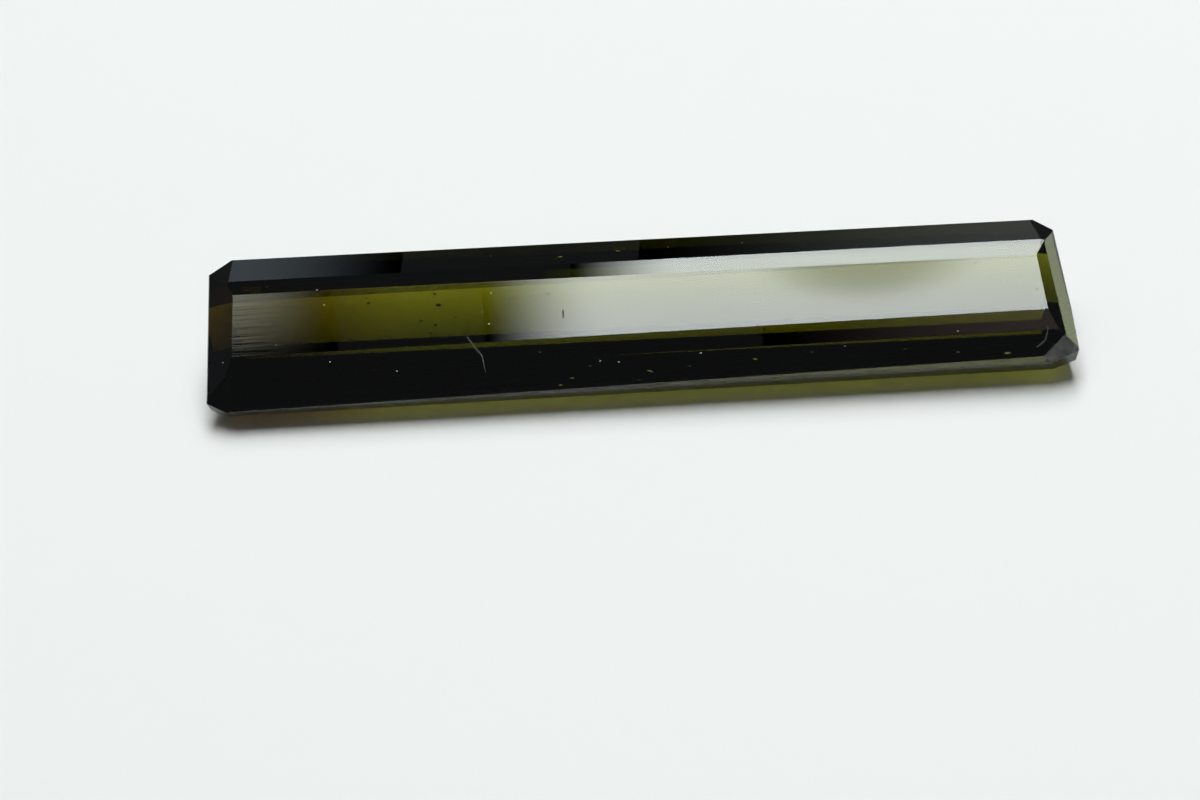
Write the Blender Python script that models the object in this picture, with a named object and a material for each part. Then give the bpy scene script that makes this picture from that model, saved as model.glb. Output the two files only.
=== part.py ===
"""A long step-cut tourmaline, ground flat by flat out of one block and lying on its underside."""

import math

import bmesh
import bpy
from mathutils import Matrix, Vector

MM = 0.001
NAME = "tourmaline"

# Sizes are taken from the middle of the table, the big flat on top of the stone.
# The length runs along X, the far side is at +Y and the near side at -Y.
BLOCK = (40 * MM, 12 * MM, 7 * MM)

# The four sides: outward heading in degrees, and the table's half width that way.
HEADINGS = {"near": -90, "far": 90, "left": 180, "right": 0}
TABLE = {"near": 1.061 * MM, "far": 1.001 * MM, "left": 13.577 * MM, "right": 13.331 * MM}

# The flats of each side: three on the crown, the girdle, then two down to the keel.
# Each has its slope away from the table, the depth under the table at which the next
# flat takes over, and its turn out of true, for the stone was cut by hand.
STEPS = {
    "near": (
        (15, 0.173 * MM, 0.24),
        (32, 0.718 * MM, 0.24),
        (65, 0.883 * MM, 0.62),
        (90, 1.324 * MM, 0.47),
        (127, 2.800 * MM, 0.00),
        (145, None, -0.30),
    ),
    "far": (
        (24, 0.275 * MM, -0.36),
        (32, 0.880 * MM, -0.31),
        (65, 0.930 * MM, -0.39),
        (90, 1.360 * MM, -0.39),
        (130, 2.720 * MM, -0.20),
        (140.5, None, -0.30),
    ),
    "left": (
        (40, 0.200 * MM, 0.10),
        (42, 0.876 * MM, 0.10),
        (65, 0.976 * MM, 0.30),
        (90, 1.360 * MM, 0.30),
        (108, 3.400 * MM, 0.00),
        (128, None, 0.00),
    ),
    "right": (
        (40, 0.305 * MM, 9.80),
        (55, 0.777 * MM, 10.30),
        (65, 0.850 * MM, 10.90),
        (90, 1.000 * MM, 10.90),
        (103, 3.300 * MM, 8.00),
        (128, None, 6.00),
    ),
}
GIRDLE = 3

# What each corner loses at the girdle, along the stone and across it,
# and the share of that which it has already lost at the first step.
CORNERS = {
    ("near", "left"): (0.75 * MM, 0.50 * MM, 0.20),
    ("near", "right"): (0.96 * MM, 0.34 * MM, 0.27),
    ("far", "left"): (0.76 * MM, 0.50 * MM, 0.08),
    ("far", "right"): (0.60 * MM, 0.34 * MM, 0.15),
}

# The corners' flats from the girdle down: slope and the depth at which each one ends.
CORNER_STEPS = ((90, 1.500 * MM), (110, 3.000 * MM), (129, None))

UP = Vector((0, 0, 1))
TABLE_FLAT = (UP, Vector((0, 0, 0)))


def heading_vector(degrees):
    """The level direction at this many degrees from +X."""
    return Vector((math.cos(math.radians(degrees)), math.sin(math.radians(degrees)), 0))


def sloped(heading, slope):
    """The direction a flat faces, from its heading and its slope away from the table."""
    return heading_vector(heading) * math.sin(math.radians(slope)) + UP * math.cos(math.radians(slope))


def side_flats(side):
    """The flats of one side, each a direction it faces and a point on it."""
    flats = []
    heading = HEADINGS[side]
    at = heading_vector(heading) * TABLE[side]
    for slope, end, turn in STEPS[side]:
        flats.append((sloped(heading + turn, slope), at.copy()))
        if end is not None:
            drop = end + at.z
            at += heading_vector(heading) * (drop / math.tan(math.radians(slope))) - UP * drop
    return flats


def meeting(*flats):
    """The point where three flats meet."""
    rows = Matrix([normal for normal, _ in flats])
    return rows.inverted() @ Vector([normal.dot(point) for normal, point in flats])


def corner_point(side, end, step, flats, depth):
    """Where a side and an end would meet at this depth if their corner were still sharp."""
    return meeting((UP, -UP * depth), flats[side][step], flats[end][step])


def corner_flats(side, end, flats):
    """The flats that take off the corner between a long side and an end."""
    cuts = []
    outward = heading_vector(HEADINGS[side]) + heading_vector(HEADINGS[end])
    along, across, share = CORNERS[side, end]
    top = meeting(TABLE_FLAT, flats[side][0], flats[end][0])
    for step, lost in ((0, share), (GIRDLE - 1, 1)):
        on_side = corner_point(side, end, step, flats, STEPS[side][step][1])
        on_side -= heading_vector(HEADINGS[end]) * along * lost
        on_end = corner_point(side, end, step, flats, STEPS[end][step][1])
        on_end -= heading_vector(HEADINGS[side]) * across * lost
        normal = (on_side - top).cross(on_end - top).normalized()
        cuts.append((normal if normal.dot(outward) > 0 else -normal, top))
        top = (on_side + on_end) / 2
    edge = on_side - on_end
    heading = math.degrees(math.atan2(edge.x, -edge.y))
    if heading_vector(heading).dot(outward) < 0:
        heading += 180
    at = top
    for slope, end_depth in CORNER_STEPS:
        cuts.append((sloped(heading, slope), at.copy()))
        if end_depth is not None:
            drop = end_depth + at.z
            at += heading_vector(heading) * (drop / math.tan(math.radians(slope))) - UP * drop
    return cuts


def grind(stone, flat):
    """Take away everything outside one flat and close the stone with the new face."""
    normal, point = flat
    parts = stone.verts[:] + stone.edges[:] + stone.faces[:]
    found = bmesh.ops.bisect_plane(
        stone, geom=parts, dist=1e-8, plane_co=point, plane_no=normal, clear_outer=True
    )
    rim = [part for part in found["geom_cut"] if isinstance(part, bmesh.types.BMEdge)]
    if rim:
        bmesh.ops.contextual_create(stone, geom=rim)


def cut_stone():
    """The block with its table, sides and corners ground, and the flat that it lies on."""
    stone = bmesh.new()
    place = Matrix.Translation((0, 0, MM / 2 - BLOCK[2] / 2))
    bmesh.ops.create_cube(stone, size=1, matrix=place @ Matrix.Diagonal((*BLOCK, 1)))
    flats = {side: side_flats(side) for side in STEPS}
    cuts = [TABLE_FLAT] + [flat for side in flats.values() for flat in side]
    for side, end in CORNERS:
        cuts += corner_flats(side, end, flats)
    for flat in cuts:
        grind(stone, flat)
    return stone, flats["near"][-1][0]


def lay_down(stone, underside):
    """Turn the stone onto its underside and put the middle of its footprint at the origin."""
    turn = underside.rotation_difference(-UP).to_matrix()
    bmesh.ops.rotate(stone, cent=(0, 0, 0), matrix=turn, verts=stone.verts)
    spots = [vert.co for vert in stone.verts]
    low = Vector([min(spot[axis] for spot in spots) for axis in range(3)])
    high = Vector([max(spot[axis] for spot in spots) for axis in range(3)])
    middle = (low + high) / 2
    bmesh.ops.translate(stone, vec=(-middle.x, -middle.y, -low.z), verts=stone.verts)


def tourmaline_material():
    """Clear dark olive green with a bright polish."""
    material = bpy.data.materials.new("tourmaline_green")
    material.use_nodes = True
    shader = material.node_tree.nodes["Principled BSDF"]
    shader.inputs["Base Color"].default_value = (0.16, 0.20, 0.06, 1)
    shader.inputs["Metallic"].default_value = 0.0
    shader.inputs["Roughness"].default_value = 0.04
    shader.inputs["IOR"].default_value = 1.63
    material.diffuse_color = (0.16, 0.20, 0.06, 1)
    return material


def main():
    for thing in list(bpy.data.objects):
        bpy.data.objects.remove(thing, do_unlink=True)
    stone, underside = cut_stone()
    lay_down(stone, underside)
    bmesh.ops.recalc_face_normals(stone, faces=stone.faces)
    mesh = bpy.data.meshes.new(NAME)
    stone.to_mesh(mesh)
    stone.free()
    mesh.materials.append(tourmaline_material())
    thing = bpy.data.objects.new(NAME, mesh)
    collection = bpy.data.collections.new("tourmaline_stone")
    bpy.context.scene.collection.children.link(collection)
    collection.objects.link(thing)


main()
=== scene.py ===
import math

import bmesh
import bpy
from mathutils import Matrix, Vector
from mathutils.bvhtree import BVHTree


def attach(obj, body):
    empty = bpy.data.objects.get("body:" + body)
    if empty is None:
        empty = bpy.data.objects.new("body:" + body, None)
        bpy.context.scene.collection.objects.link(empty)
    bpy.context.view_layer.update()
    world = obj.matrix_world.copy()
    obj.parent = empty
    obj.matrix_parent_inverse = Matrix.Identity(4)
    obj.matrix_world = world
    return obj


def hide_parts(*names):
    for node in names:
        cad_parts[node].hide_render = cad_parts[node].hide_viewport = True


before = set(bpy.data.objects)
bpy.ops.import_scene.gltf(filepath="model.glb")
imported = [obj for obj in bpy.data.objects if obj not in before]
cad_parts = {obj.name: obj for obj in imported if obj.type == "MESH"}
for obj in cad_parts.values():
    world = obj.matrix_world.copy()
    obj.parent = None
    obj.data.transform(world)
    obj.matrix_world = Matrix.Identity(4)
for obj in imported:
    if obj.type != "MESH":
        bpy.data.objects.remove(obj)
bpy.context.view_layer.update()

MM = 0.001

# Camera: where the lens was, as read from the stone's edges in the picture.
EYE = Vector((28.196, -172.096, 117.465)) * MM
LOOKING_AT = Vector((-1.441, -1.474, 0.0)) * MM
PICTURE_RIGHT = Vector((0.988608, 0.087314, -0.122599))
PICTURE = (1200, 800)
FOCAL_PIXELS = 6333
SENSOR_WIDTH = 36
NEAREST_SEEN = 0.01
FARTHEST_SEEN = 10

# The table is the widest flat that faces up and forwards at least this much.
TABLE_UP = 0.6
TABLE_FORWARD = -0.5

# Flats that stand this upright on the table belong to the girdle.
UPRIGHT = 0.05

# Corners this close are one corner, and neighbours bent less than this are one flat.
SAME_POINT = 0.0001 * MM
SAME_FLAT = math.radians(0.5)

# How wide the eased edges are, and the length and the bend under which an edge is left sharp.
EDGE_EASE = 0.014 * MM
GIRDLE_EASE = 0.035 * MM
SHORT_EDGE = 0.12 * MM
SMALL_BEND = math.radians(3)
CUT_CLOSENESS = 0.000001 * MM

# The crystal: how it bends light, what a metre of it takes away, and how matt its girdle is.
BENDING = 1.63
KEPT_COLOUR = (0.668, 0.672, 0.0)
DENSITY = 1900
GIRDLE_ROUGHNESS = 0.35

# Tint of the polished flats along the stone: place from the middle, then colour.
TINT = (
    (-14.5, (0.20, 0.11, 0.04)),
    (-12.8, (0.26, 0.17, 0.07)),
    (-11.4, (0.42, 0.30, 0.15)),
    (-10.2, (0.66, 0.52, 0.30)),
    (-9.2, (0.86, 0.76, 0.55)),
    (-7.8, (1.00, 0.98, 0.92)),
    (14.5, (1.00, 1.00, 0.92)),
)
GIRDLE_TINT = (0.42, 0.45, 0.30)

# Polishing lines: how many to a metre along the stone and across it, their slant and unevenness.
LINES_ALONG = 110
LINES_ACROSS = 5200
LINES_SLANT = math.radians(0.25)
LINES_LAYERS = 3.0
LINES_UNEVENNESS = 0.62
LINE_DEPTH = 0.01 * MM

# They are strong up to the first place and faint from the second one on.
LINES_STRONG_UNTIL = -13.3 * MM
LINES_FAINT_FROM = -11.6 * MM
LINES_STRONG = 0.085
LINES_FAINT = 0.006

# Looks of the small marks and the dust: light and dark parts, size of the mottling, roughness.
MARK_LOOKS = {
    "white_speck": ((0.75, 0.76, 0.72), (0.50, 0.51, 0.48), 0.03 * MM, 0.8),
    "dark_inclusion": ((0.042, 0.044, 0.004), (0.012, 0.012, 0.002), 0.05 * MM, 0.6),
    # Painted glints: small yellow-green flecks that stand in for light glinting off fractures inside
    # the stone.
    "painted_glint": ((0.110, 0.130, 0.006), (0.045, 0.055, 0.003), 0.03 * MM, 0.7),
    "pale_lint": ((0.34, 0.34, 0.30), (0.20, 0.20, 0.17), 0.10 * MM, 0.7),
    "grey_dust": ((0.62, 0.62, 0.58), (0.34, 0.34, 0.30), 0.02 * MM, 0.9),
}

# Where a mark's colour leaves its dark part and where it reaches its light part.
MOTTLE_DARK_END = 0.35
MOTTLE_LIGHT_START = 0.65

# What lies on or under the flats, by its place in the picture: across, down and size in mm.
WHITE_SPECKS = (
    (491, 293, 0.030), (482, 312, 0.026), (489, 324, 0.030), (324, 305, 0.026), (317, 290, 0.024),
    (223, 363, 0.024), (330, 362, 0.026), (701, 353, 0.036), (600, 361, 0.030), (619, 362, 0.032),
    (845, 346, 0.022), (397, 371, 0.022), (958, 331, 0.022), (276, 345, 0.020), (540, 352, 0.018),
)
DARK_MARKS = (
    (434, 293, 0.065), (438, 304, 0.100), (420, 320, 0.060), (435, 324, 0.070), (430, 332, 0.060),
    (368, 302, 0.075), (366, 297, 0.045), (548, 293, 0.070), (975, 262, 0.055), (1037, 288, 0.070),
    (402, 286, 0.045), (455, 316, 0.045), (786, 318, 0.070), (757, 324, 0.060), (764, 329, 0.050),
)
# Painted glints of fractures inside the stone, laid on the flats as small yellow-green flecks.
PAINTED_GLINTS = (
    (572, 378, 0.055), (650, 371, 0.070), (755, 359, 0.055), (561, 385, 0.050), (1008, 353, 0.085),
    (618, 251, 0.050), (560, 257, 0.055), (590, 366, 0.030), (690, 366, 0.035), (812, 352, 0.030),
    (905, 349, 0.030), (742, 243, 0.030), (668, 247, 0.028), (958, 352, 0.035), (640, 380, 0.030),
)
LINT = ((467, 337), (471, 342), (477, 350), (482, 356), (483.5, 363), (485.5, 372))
PALE_HAIR = ((1048, 326), (1047, 334), (1044, 341), (1037, 347))
NICK = ((562.6, 310), (563.4, 314), (563, 318))

# Each kind of grain: its shape, how deep its middle lies, and the seed for how it is turned.
SPECK_SHAPE = (1.0, 0.8, 0.45)
SPECK_DEPTH = -0.004 * MM
SPECK_SEED = 3
DARK_SHAPE = (1.0, 0.55, 0.45)
DARK_DEPTH = 0.16 * MM
DARK_SEED = 5
# The painted glints sit right on the surface.
GLINT_SHAPE = (1.5, 0.55, 0.3)
GLINT_DEPTH = 0.0
GLINT_SEED = 7
GRAIN_ROUNDNESS = 2
GRAIN_TURN_LOW = (-0.5, -0.3, -0.3)
GRAIN_TURN_HIGH = (0.5, 0.3, 0.3)

# Threads: half their thickness, how many of these halves they are raised, the flats round
# them, and the points from one place to the next.
LINT_RADIUS = 0.0065 * MM
HAIR_RADIUS = 0.006 * MM
NICK_RADIUS = 0.020 * MM
THREAD_LIFT = 0.6
THREAD_SIDES = 8
THREAD_STEPS = 8

# Dust: grains to a square metre at most, the size of one, and its least and greatest shape.
DUST_DENSITY = 260000.0
DUST_GRAIN = 0.0075 * MM
DUST_SEED = 11
DUST_ROUNDNESS = 1
DUST_LEAST = (0.4, 0.4, 0.3)
DUST_GREATEST = (1.5, 1.2, 0.8)

# The floor under the stone, in metres.
FLOOR_REACH = 0.8
FLOOR_COLOUR = (0.83, 0.805, 0.815)
FLOOR_ROUGHNESS = 0.9
FLOOR_SHINE = 0.1

# Panels of light over the stone, in metres: near left corner, far right corner, strength,
# colour, and how wide they fade out at the left, at the right, and at the near and far sides.
PANEL_HEIGHT = 0.40
PANELS = {
    "top_card": ((-0.0732, -0.150), (0.190, 0.345), 8.0, (0.93, 1.0, 0.98), (0.0125, 0.14, 0.035)),
    "left_card": ((-0.26, -0.102), (-0.088, -0.03), 2.6, (0.94, 1.0, 0.80), (0.02, 0.011, 0.010)),
    "back_card": ((-0.34, 0.42), (-0.117, 0.60), 0.60, (0.75, 0.9, 1.0), (0.03, 0.022, 0.03)),
    "far_card": ((-0.085, 0.40), (0.10, 0.62), 0.50, (0.93, 1.0, 0.98), (0.06, 0.03, 0.03)),
    "near_card": ((-0.062, -0.52), (0.10, -0.32), 0.42, (1.0, 0.78, 0.70), (0.035, 0.03, 0.03)),
}

# A dimmer patch in one panel: its middle, its half widths and the share of light that it takes.
DIMMER_PATCHES = {
    "top_card": ((-0.035, -0.093), (0.0125, 0.0058), 0.58),
}

# The low upright panel at the right, in metres.
SIDE_MIDDLE = (0.245, 0.175, 0.0)
SIDE_HALF_WIDTH = 0.075
SIDE_HEIGHT = 0.045
SIDE_COLOUR = (0.90, 1.0, 0.66)
SIDE_STRENGTH = 2.2

# Light from the whole room, and how often light may be bent or mirrored on its way.
ROOM_COLOUR = (0.9, 0.95, 1.0)
ROOM_STRENGTH = 0.08
MOST_TURNS = 24
MOST_MIRROR_TURNS = 16

stone_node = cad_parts["tourmaline"]


def largest_flat(mesh):
    """Direction of the stone's table: its widest flat that faces up and forwards."""
    totals = {}
    for face in mesh.polygons:
        if face.normal.z > TABLE_UP and face.normal.y < TABLE_FORWARD:
            key = tuple(round(value, 3) for value in face.normal)
            totals[key] = totals.get(key, 0.0) + face.area
    return Vector(max(totals, key=totals.get)).normalized()


TABLE_FACING = largest_flat(stone_node.data)


def put(name, mesh, material=None):
    """Place a mesh in the scene at the origin."""
    thing = bpy.data.objects.new(name, mesh)
    bpy.context.scene.collection.objects.link(thing)
    if material:
        mesh.materials.append(material)
    return thing


def new_material(name):
    """A material with its nodes and links at hand."""
    material = bpy.data.materials.new(name)
    material.use_nodes = True
    return material, material.node_tree.nodes, material.node_tree.links


def object_axis(nodes, links, axis):
    """One object coordinate in metres."""
    where = nodes.new("ShaderNodeTexCoord")
    split = nodes.new("ShaderNodeSeparateXYZ")
    links.new(where.outputs["Object"], split.inputs["Vector"])
    return split.outputs[axis]


def ramp_between(nodes, links, value, start, end, low=0.0, high=1.0):
    """A smooth change of a value from low at start to high at end."""
    fade = nodes.new("ShaderNodeMapRange")
    fade.interpolation_type = "SMOOTHSTEP"
    fade.inputs["From Min"].default_value = start
    fade.inputs["From Max"].default_value = end
    fade.inputs["To Min"].default_value = low
    fade.inputs["To Max"].default_value = high
    links.new(value, fade.inputs["Value"])
    return fade.outputs["Result"]


def combine(nodes, links, operation, one, other):
    """Add, multiply or otherwise join two values."""
    joined = nodes.new("ShaderNodeMath")
    joined.operation = operation
    for socket, value in zip(joined.inputs, (one, other)):
        if isinstance(value, (int, float)):
            socket.default_value = value
        else:
            links.new(value, socket)
    return joined.outputs["Value"]


def polishing_lines(nodes, links):
    """Fine uneven lines drawn out along the stone's length, deepest at its left end."""
    where = nodes.new("ShaderNodeTexCoord")
    stretch = nodes.new("ShaderNodeMapping")
    stretch.inputs["Scale"].default_value = (LINES_ALONG, LINES_ACROSS, LINES_ACROSS)
    stretch.inputs["Rotation"].default_value = (0, 0, LINES_SLANT)
    noise = nodes.new("ShaderNodeTexNoise")
    noise.inputs["Scale"].default_value = 1.0
    noise.inputs["Detail"].default_value = LINES_LAYERS
    noise.inputs["Roughness"].default_value = LINES_UNEVENNESS
    links.new(where.outputs["Object"], stretch.inputs["Vector"])
    links.new(stretch.outputs["Vector"], noise.inputs["Vector"])
    across = object_axis(nodes, links, "X")
    ends = (LINES_STRONG_UNTIL, LINES_FAINT_FROM)
    depth = ramp_between(nodes, links, across, *ends, LINES_STRONG, LINES_FAINT)
    return noise.outputs["Fac"], depth


def end_tint(nodes, links):
    """Brownish and darker towards the left end of the stone."""
    across = object_axis(nodes, links, "X")
    start, end = TINT[0][0], TINT[-1][0]
    place = nodes.new("ShaderNodeMapRange")
    place.inputs["From Min"].default_value = start * MM
    place.inputs["From Max"].default_value = end * MM
    links.new(across, place.inputs["Value"])
    ramp = nodes.new("ShaderNodeValToRGB")
    steps = ramp.color_ramp.elements
    while len(steps) < len(TINT):
        steps.new(0.5)
    for step, (at, colour) in zip(steps, TINT):
        step.position = (at - start) / (end - start)
        step.color = (*colour, 1)
    links.new(place.outputs["Result"], ramp.inputs["Fac"])
    return ramp.outputs["Color"]


def tourmaline():
    """Clear olive-green crystal: polished flats, with the girdle left ground and matt."""
    material, nodes, links = new_material("olive_tourmaline")
    shader = nodes["Principled BSDF"]
    shader.inputs["IOR"].default_value = BENDING
    shader.inputs["Transmission Weight"].default_value = 1.0
    ground = nodes.new("ShaderNodeAttribute")
    ground.attribute_name = "ground"
    roughness = combine(nodes, links, "MULTIPLY", ground.outputs["Fac"], GIRDLE_ROUGHNESS)
    links.new(roughness, shader.inputs["Roughness"])
    tint = nodes.new("ShaderNodeMix")
    tint.data_type = "RGBA"
    for socket in tint.inputs:
        if socket.identifier == "B_Color":
            socket.default_value = (*GIRDLE_TINT, 1)
        if socket.identifier == "A_Color":
            links.new(end_tint(nodes, links), socket)
        if socket.identifier == "Factor_Float":
            links.new(ground.outputs["Fac"], socket)
    for socket in tint.outputs:
        if socket.identifier == "Result_Color":
            links.new(socket, shader.inputs["Base Color"])
    height, depth = polishing_lines(nodes, links)
    bump = nodes.new("ShaderNodeBump")
    bump.inputs["Distance"].default_value = LINE_DEPTH
    links.new(depth, bump.inputs["Strength"])
    links.new(height, bump.inputs["Height"])
    links.new(bump.outputs["Normal"], shader.inputs["Normal"])
    absorb = nodes.new("ShaderNodeVolumeAbsorption")
    absorb.inputs["Color"].default_value = (*KEPT_COLOUR, 1)
    absorb.inputs["Density"].default_value = DENSITY
    links.new(absorb.outputs["Volume"], nodes["Material Output"].inputs["Volume"])
    return material


def mottled(name):
    """A solid colour with a little mottling, for what lies on or in the stone."""
    light, dark, size, roughness = MARK_LOOKS[name]
    material, nodes, links = new_material(name)
    shader = nodes["Principled BSDF"]
    shader.inputs["Roughness"].default_value = roughness
    where = nodes.new("ShaderNodeTexCoord")
    noise = nodes.new("ShaderNodeTexNoise")
    noise.inputs["Scale"].default_value = 1 / size
    links.new(where.outputs["Object"], noise.inputs["Vector"])
    ramp = nodes.new("ShaderNodeValToRGB")
    ramp.color_ramp.elements[0].color = (*dark, 1)
    ramp.color_ramp.elements[1].color = (*light, 1)
    ramp.color_ramp.elements[0].position = MOTTLE_DARK_END
    ramp.color_ramp.elements[1].position = MOTTLE_LIGHT_START
    links.new(noise.outputs["Fac"], ramp.inputs["Fac"])
    links.new(ramp.outputs["Color"], shader.inputs["Base Color"])
    return material


def ease_edges(shape, ground):
    """Take the sharpness off each edge with one narrow flat, as polishing leaves it."""
    shape.normal_update()
    cuts = []
    for edge in shape.edges:
        if edge.calc_length() < SHORT_EDGE or len(edge.link_faces) != 2:
            continue
        one, other = (face.normal.copy() for face in edge.link_faces)
        bend = one.angle(other)
        if bend < SMALL_BEND:
            continue
        matt = any(face[ground] > 0.5 for face in edge.link_faces)
        width = GIRDLE_EASE if matt else EDGE_EASE
        middle = (one + other).normalized()
        depth = width / 2 * math.tan(bend / 2)
        cuts.append((edge.verts[0].co - middle * depth, middle, 1.0 if matt else 0.0))
    for point, normal, matt in cuts:
        parts = shape.verts[:] + shape.edges[:] + shape.faces[:]
        found = bmesh.ops.bisect_plane(
            shape, geom=parts, dist=CUT_CLOSENESS, plane_co=point, plane_no=normal, clear_outer=True
        )
        rim = [part for part in found["geom_cut"] if isinstance(part, bmesh.types.BMEdge)]
        if rim:
            made = bmesh.ops.contextual_create(shape, geom=rim)
            for face in made["faces"]:
                face[ground] = matt
    bmesh.ops.recalc_face_normals(shape, faces=shape.faces)


def build_stone():
    """The cut stone with its flats whole again, its edges just off sharp and its girdle matt."""
    mesh = stone_node.data.copy()
    mesh.name = "stone"
    mesh.materials.clear()
    shape = bmesh.new()
    shape.from_mesh(mesh)
    ground = shape.faces.layers.float.new("ground")
    bmesh.ops.remove_doubles(shape, verts=shape.verts, dist=SAME_POINT)
    bmesh.ops.dissolve_limit(shape, angle_limit=SAME_FLAT, verts=shape.verts, edges=shape.edges)
    for face in shape.faces:
        face[ground] = 1.0 if abs(face.normal.dot(TABLE_FACING)) < UPRIGHT else 0.0
    ease_edges(shape, ground)
    for face in shape.faces:
        face.material_index = 0
        face.smooth = False
    shape.to_mesh(mesh)
    surface = BVHTree.FromBMesh(shape)
    shape.free()
    stone = put("stone", mesh, tourmaline())
    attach(stone, "root")
    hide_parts("tourmaline")
    return stone, surface


def picture_axes():
    """The camera's own right, up and back directions."""
    back = (EYE - LOOKING_AT).normalized()
    up = back.cross(PICTURE_RIGHT).normalized()
    return up.cross(back), up, back


def seen_point(surface, across, down):
    """Where a line of sight through this place in the picture meets the stone."""
    right, up, back = picture_axes()
    sight = right * (across - PICTURE[0] / 2) - up * (down - PICTURE[1] / 2) - back * FOCAL_PIXELS
    point, normal, _, _ = surface.ray_cast(EYE, sight.normalized())
    return point, normal


def new_tree(name, settings):
    """An empty geometry tree with these named inputs, and its nodes and links."""
    tree = bpy.data.node_groups.new(name, "GeometryNodeTree")
    tree.interface.new_socket("Geometry", in_out="INPUT", socket_type="NodeSocketGeometry")
    for label, kind in settings:
        tree.interface.new_socket(label, in_out="INPUT", socket_type=kind)
    tree.interface.new_socket("Geometry", in_out="OUTPUT", socket_type="NodeSocketGeometry")
    start = tree.nodes.new("NodeGroupInput")
    end = tree.nodes.new("NodeGroupOutput")
    return tree, tree.nodes, tree.links, start, end


def finish_tree(tree, nodes, links, made, end, material):
    """Make the instances real, give them their material and hand them on."""
    real = nodes.new("GeometryNodeRealizeInstances")
    dress = nodes.new("GeometryNodeSetMaterial")
    dress.inputs["Material"].default_value = material
    links.new(made, real.inputs["Geometry"])
    links.new(real.outputs["Geometry"], dress.inputs["Geometry"])
    links.new(dress.outputs["Geometry"], end.inputs["Geometry"])
    return tree


def run_tree(name, mesh, tree, values):
    """Run a geometry tree on a mesh and keep what it makes as a plain piece."""
    seed_piece = put(name, mesh)
    modifier = seed_piece.modifiers.new("grow", "NODES")
    modifier.node_group = tree
    for item in tree.interface.items_tree:
        if item.item_type == "SOCKET" and item.in_out == "INPUT" and item.name in values:
            modifier[item.identifier] = values[item.name]
    bpy.context.view_layer.update()
    depsgraph = bpy.context.evaluated_depsgraph_get()
    made = bpy.data.meshes.new_from_object(seed_piece.evaluated_get(depsgraph))
    made.name = name
    seed_piece.modifiers.clear()
    seed_piece.data = made
    return seed_piece


def grain_tree(name, material, stretch):
    """One small rounded grain at each point, sized by the point and turned at random."""
    tree, nodes, links, start, end = new_tree(name, (("Seed", "NodeSocketInt"),))
    grain = nodes.new("GeometryNodeMeshIcoSphere")
    grain.inputs["Radius"].default_value = 1.0
    grain.inputs["Subdivisions"].default_value = GRAIN_ROUNDNESS
    size = nodes.new("GeometryNodeInputNamedAttribute")
    size.data_type = "FLOAT"
    size.inputs["Name"].default_value = "size"
    shape = nodes.new("ShaderNodeVectorMath")
    shape.operation = "SCALE"
    shape.inputs[0].default_value = stretch
    links.new(size.outputs["Attribute"], shape.inputs["Scale"])
    turn = nodes.new("FunctionNodeRandomValue")
    turn.data_type = "FLOAT_VECTOR"
    turn.inputs[0].default_value = GRAIN_TURN_LOW
    turn.inputs[1].default_value = GRAIN_TURN_HIGH
    links.new(start.outputs["Seed"], turn.inputs["Seed"])
    place = nodes.new("GeometryNodeInstanceOnPoints")
    links.new(start.outputs["Geometry"], place.inputs["Points"])
    links.new(grain.outputs["Mesh"], place.inputs["Instance"])
    links.new(turn.outputs[0], place.inputs["Rotation"])
    links.new(shape.outputs["Vector"], place.inputs["Scale"])
    return finish_tree(tree, nodes, links, place.outputs["Instances"], end, material)


def build_grains(name, surface, places, material, stretch, depth, seed):
    """Grains at places read from the picture, with their middles this deep in the stone."""
    points = []
    sizes = []
    for across, down, size in places:
        point, normal = seen_point(surface, across, down)
        if point is None:
            continue
        points.append(point - normal * depth)
        sizes.append(size * MM)
    mesh = bpy.data.meshes.new(name)
    mesh.from_pydata(points, [], [])
    kept = mesh.attributes.new("size", "FLOAT", "POINT")
    for number, size in enumerate(sizes):
        kept.data[number].value = size
    piece = run_tree(name, mesh, grain_tree(name, material, stretch), {"Seed": seed})
    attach(piece, "root")


def dust_tree(material):
    """Fine dust scattered over the whole stone."""
    settings = (("Density", "NodeSocketFloat"), ("Grain", "NodeSocketFloat"), ("Seed", "NodeSocketInt"))
    tree, nodes, links, start, end = new_tree("dust_over_stone", settings)
    scatter = nodes.new("GeometryNodeDistributePointsOnFaces")
    links.new(start.outputs["Geometry"], scatter.inputs["Mesh"])
    links.new(start.outputs["Density"], scatter.inputs["Density"])
    links.new(start.outputs["Seed"], scatter.inputs["Seed"])
    grain = nodes.new("GeometryNodeMeshIcoSphere")
    grain.inputs["Subdivisions"].default_value = DUST_ROUNDNESS
    links.new(start.outputs["Grain"], grain.inputs["Radius"])
    size = nodes.new("FunctionNodeRandomValue")
    size.data_type = "FLOAT_VECTOR"
    size.inputs[0].default_value = DUST_LEAST
    size.inputs[1].default_value = DUST_GREATEST
    links.new(start.outputs["Seed"], size.inputs["Seed"])
    place = nodes.new("GeometryNodeInstanceOnPoints")
    links.new(scatter.outputs["Points"], place.inputs["Points"])
    links.new(grain.outputs["Mesh"], place.inputs["Instance"])
    links.new(size.outputs[0], place.inputs["Scale"])
    return finish_tree(tree, nodes, links, place.outputs["Instances"], end, material)


def build_dust(stone):
    """Grey-white dust, about one grain to every four square millimetres."""
    values = {"Density": DUST_DENSITY, "Grain": DUST_GRAIN, "Seed": DUST_SEED}
    piece = run_tree("fine_dust", stone.data.copy(), dust_tree(mottled("grey_dust")), values)
    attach(piece, "root")


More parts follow.
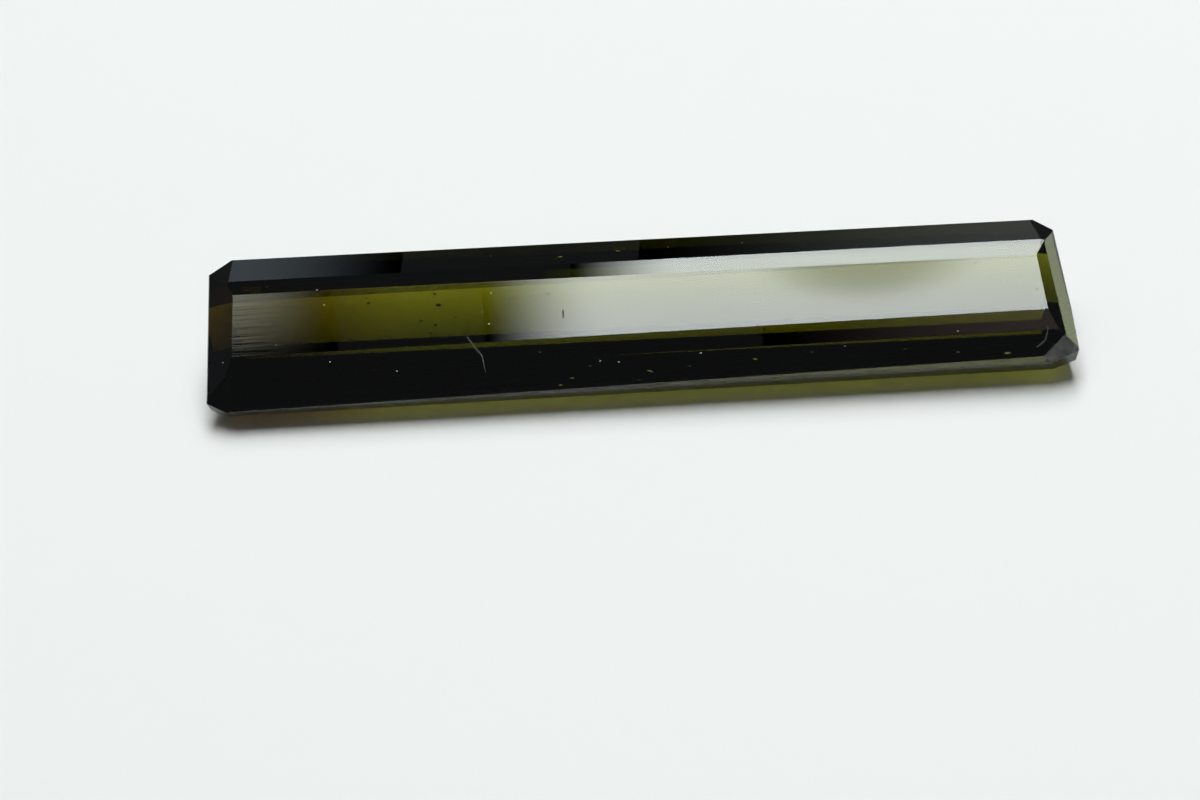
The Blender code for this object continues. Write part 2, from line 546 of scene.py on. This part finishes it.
def fibre_tree(name, material):
    """A thin round thread that follows a path."""
    tree, nodes, links, start, end = new_tree(name, (("Radius", "NodeSocketFloat"),))
    path = nodes.new("GeometryNodeMeshToCurve")
    links.new(start.outputs["Geometry"], path.inputs["Mesh"])
    round_line = nodes.new("GeometryNodeCurvePrimitiveCircle")
    round_line.inputs["Resolution"].default_value = THREAD_SIDES
    links.new(start.outputs["Radius"], round_line.inputs["Radius"])
    thread = nodes.new("GeometryNodeCurveToMesh")
    thread.inputs["Fill Caps"].default_value = True
    links.new(path.outputs["Curve"], thread.inputs["Curve"])
    links.new(round_line.outputs["Curve"], thread.inputs["Profile Curve"])
    return finish_tree(tree, nodes, links, thread.outputs["Mesh"], end, material)


def smooth_path(places):
    """More points along a smooth bent line through these places."""
    path = []
    last = len(places) - 1
    for number in range(last):
        before = Vector(places[max(number - 1, 0)])
        here = Vector(places[number])
        after = Vector(places[number + 1])
        beyond = Vector(places[min(number + 2, last)])
        for step in range(THREAD_STEPS):
            way = step / THREAD_STEPS
            straight = here * 2 + (after - before) * way
            bent = (before * 2 - here * 5 + after * 4 - beyond) * way * way
            twisted = (here * 3 - before - after * 3 + beyond) * way * way * way
            path.append((straight + bent + twisted) / 2)
    path.append(Vector(places[last]))
    return path


def build_fibre(name, surface, places, radius, material):
    """A thread lying on the stone along places read from the picture."""
    points = []
    for across, down in smooth_path(places):
        point, normal = seen_point(surface, across, down)
        if point is not None:
            points.append(point + normal * radius * THREAD_LIFT)
    mesh = bpy.data.meshes.new(name)
    mesh.from_pydata(points, [(number, number + 1) for number in range(len(points) - 1)], [])
    piece = run_tree(name, mesh, fibre_tree(name, material), {"Radius": radius})
    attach(piece, "root")


def build_surface_marks(stone, surface):
    """Specks, painted glint flecks, inclusions, lint, dust and the small nick that the picture shows.
    """
    white = mottled("white_speck")
    dark = mottled("dark_inclusion")
    # Yellow-green flecks that paint the glints of fractures inside the stone.
    green = mottled("painted_glint")
    lint = mottled("pale_lint")
    build_grains("white_specks", surface, WHITE_SPECKS, white, SPECK_SHAPE, SPECK_DEPTH, SPECK_SEED)
    build_grains("dark_inclusions", surface, DARK_MARKS, dark, DARK_SHAPE, DARK_DEPTH, DARK_SEED)
    build_grains("painted_glint_flecks", surface, PAINTED_GLINTS, green, GLINT_SHAPE, GLINT_DEPTH, GLINT_SEED)
    build_fibre("lint_thread", surface, LINT, LINT_RADIUS, lint)
    build_fibre("pale_hair", surface, PALE_HAIR, HAIR_RADIUS, lint)
    build_fibre("small_nick", surface, NICK, NICK_RADIUS, dark)
    build_dust(stone)


def build_floor():
    """The plain pale floor that the stone lies on."""
    side = FLOOR_REACH
    mesh = bpy.data.meshes.new("floor")
    corners = [(-side, -side, 0), (side, -side, 0), (side, side, 0), (-side, side, 0)]
    mesh.from_pydata(corners, [], [(0, 1, 2, 3)])
    material, nodes, _ = new_material("pale_floor")
    shader = nodes["Principled BSDF"]
    shader.inputs["Base Color"].default_value = (*FLOOR_COLOUR, 1)
    shader.inputs["Roughness"].default_value = FLOOR_ROUGHNESS
    shader.inputs["Specular IOR Level"].default_value = FLOOR_SHINE
    put("floor", mesh, material)


def glowing_material(name, colour):
    """A material that only gives off light, with its nodes, links and glow."""
    material, nodes, links = new_material(name)
    nodes.remove(nodes["Principled BSDF"])
    glow = nodes.new("ShaderNodeEmission")
    glow.inputs["Color"].default_value = (*colour, 1)
    links.new(glow.outputs["Emission"], nodes["Material Output"].inputs["Surface"])
    return material, nodes, links, glow


def fade_at_sides(nodes, links, strength, low, high, soft):
    """Light that fades out towards the sides of a panel."""
    value = strength
    for axis, start, end in (("X", low[0], low[0] + soft[0]), ("Y", low[1], low[1] + soft[2])):
        at = object_axis(nodes, links, axis)
        fade = ramp_between(nodes, links, at, start, end)
        value = combine(nodes, links, "MULTIPLY", fade, value)
    for axis, start, end in (("X", high[0] - soft[1], high[0]), ("Y", high[1] - soft[2], high[1])):
        at = object_axis(nodes, links, axis)
        fade = ramp_between(nodes, links, at, start, end, 1.0, 0.0)
        value = combine(nodes, links, "MULTIPLY", fade, value)
    return value


def dim_patch(nodes, links, value, patch):
    """A softly rounded patch where a panel gives less light."""
    middle, half_widths, taken = patch
    terms = []
    for axis, centre, half_width in zip("XY", middle, half_widths):
        off = combine(nodes, links, "SUBTRACT", object_axis(nodes, links, axis), centre)
        off = combine(nodes, links, "DIVIDE", off, half_width)
        terms.append(combine(nodes, links, "MULTIPLY", off, off))
    apart = combine(nodes, links, "ADD", terms[0], terms[1])
    left = ramp_between(nodes, links, apart, 0.0, 1.0, 1.0 - taken, 1.0)
    return combine(nodes, links, "MULTIPLY", left, value)


def glowing_card(name):
    """A soft panel of light hung over the stone."""
    low, high, strength, colour, soft = PANELS[name]
    corners = [
        (low[0], low[1], PANEL_HEIGHT),
        (low[0], high[1], PANEL_HEIGHT),
        (high[0], high[1], PANEL_HEIGHT),
        (high[0], low[1], PANEL_HEIGHT),
    ]
    mesh = bpy.data.meshes.new(name)
    mesh.from_pydata(corners, [], [(0, 1, 2, 3)])
    material, nodes, links, glow = glowing_material(name, colour)
    value = fade_at_sides(nodes, links, strength, low, high, soft)
    if name in DIMMER_PATCHES:
        value = dim_patch(nodes, links, value, DIMMER_PATCHES[name])
    links.new(value, glow.inputs["Strength"])
    put(name, mesh, material)


def side_panel():
    """A low upright panel at the right, which the slanting end looks towards."""
    middle = Vector(SIDE_MIDDLE)
    along = Vector((-middle.y, middle.x, 0)).normalized() * SIDE_HALF_WIDTH
    top = Vector((0, 0, SIDE_HEIGHT))
    mesh = bpy.data.meshes.new("side_panel")
    corners = [middle - along, middle + along, middle + along + top, middle - along + top]
    mesh.from_pydata(corners, [], [(0, 1, 2, 3)])
    material, _, _, glow = glowing_material("side_panel", SIDE_COLOUR)
    glow.inputs["Strength"].default_value = SIDE_STRENGTH
    put("side_panel", mesh, material)


def build_light():
    """A bright panel over the right half, dim ones around it and a faint even light."""
    for name in PANELS:
        glowing_card(name)
    side_panel()
    world = bpy.data.worlds.new("room")
    world.use_nodes = True
    background = world.node_tree.nodes["Background"]
    background.inputs["Color"].default_value = (*ROOM_COLOUR, 1)
    background.inputs["Strength"].default_value = ROOM_STRENGTH
    bpy.context.scene.world = world


def build_camera():
    """The camera at the picture's own viewing angle."""
    lens = bpy.data.cameras.new("camera")
    lens.sensor_width = SENSOR_WIDTH
    lens.lens = FOCAL_PIXELS / PICTURE[0] * SENSOR_WIDTH
    lens.clip_start = NEAREST_SEEN
    lens.clip_end = FARTHEST_SEEN
    camera = bpy.data.objects.new("camera", lens)
    bpy.context.scene.collection.objects.link(camera)
    turn = Matrix(picture_axes()).transposed()
    camera.matrix_world = Matrix.Translation(EYE) @ turn.to_4x4()
    bpy.context.scene.camera = camera


def main():
    """Build the whole picture and set how often light may turn and how it is shown."""
    build_floor()
    build_light()
    build_camera()
    stone, surface = build_stone()
    build_surface_marks(stone, surface)
    scene = bpy.context.scene
    scene.view_settings.view_transform = "Standard"
    scene.cycles.max_bounces = MOST_TURNS
    scene.cycles.glossy_bounces = MOST_MIRROR_TURNS
    scene.cycles.transmission_bounces = MOST_TURNS


main()
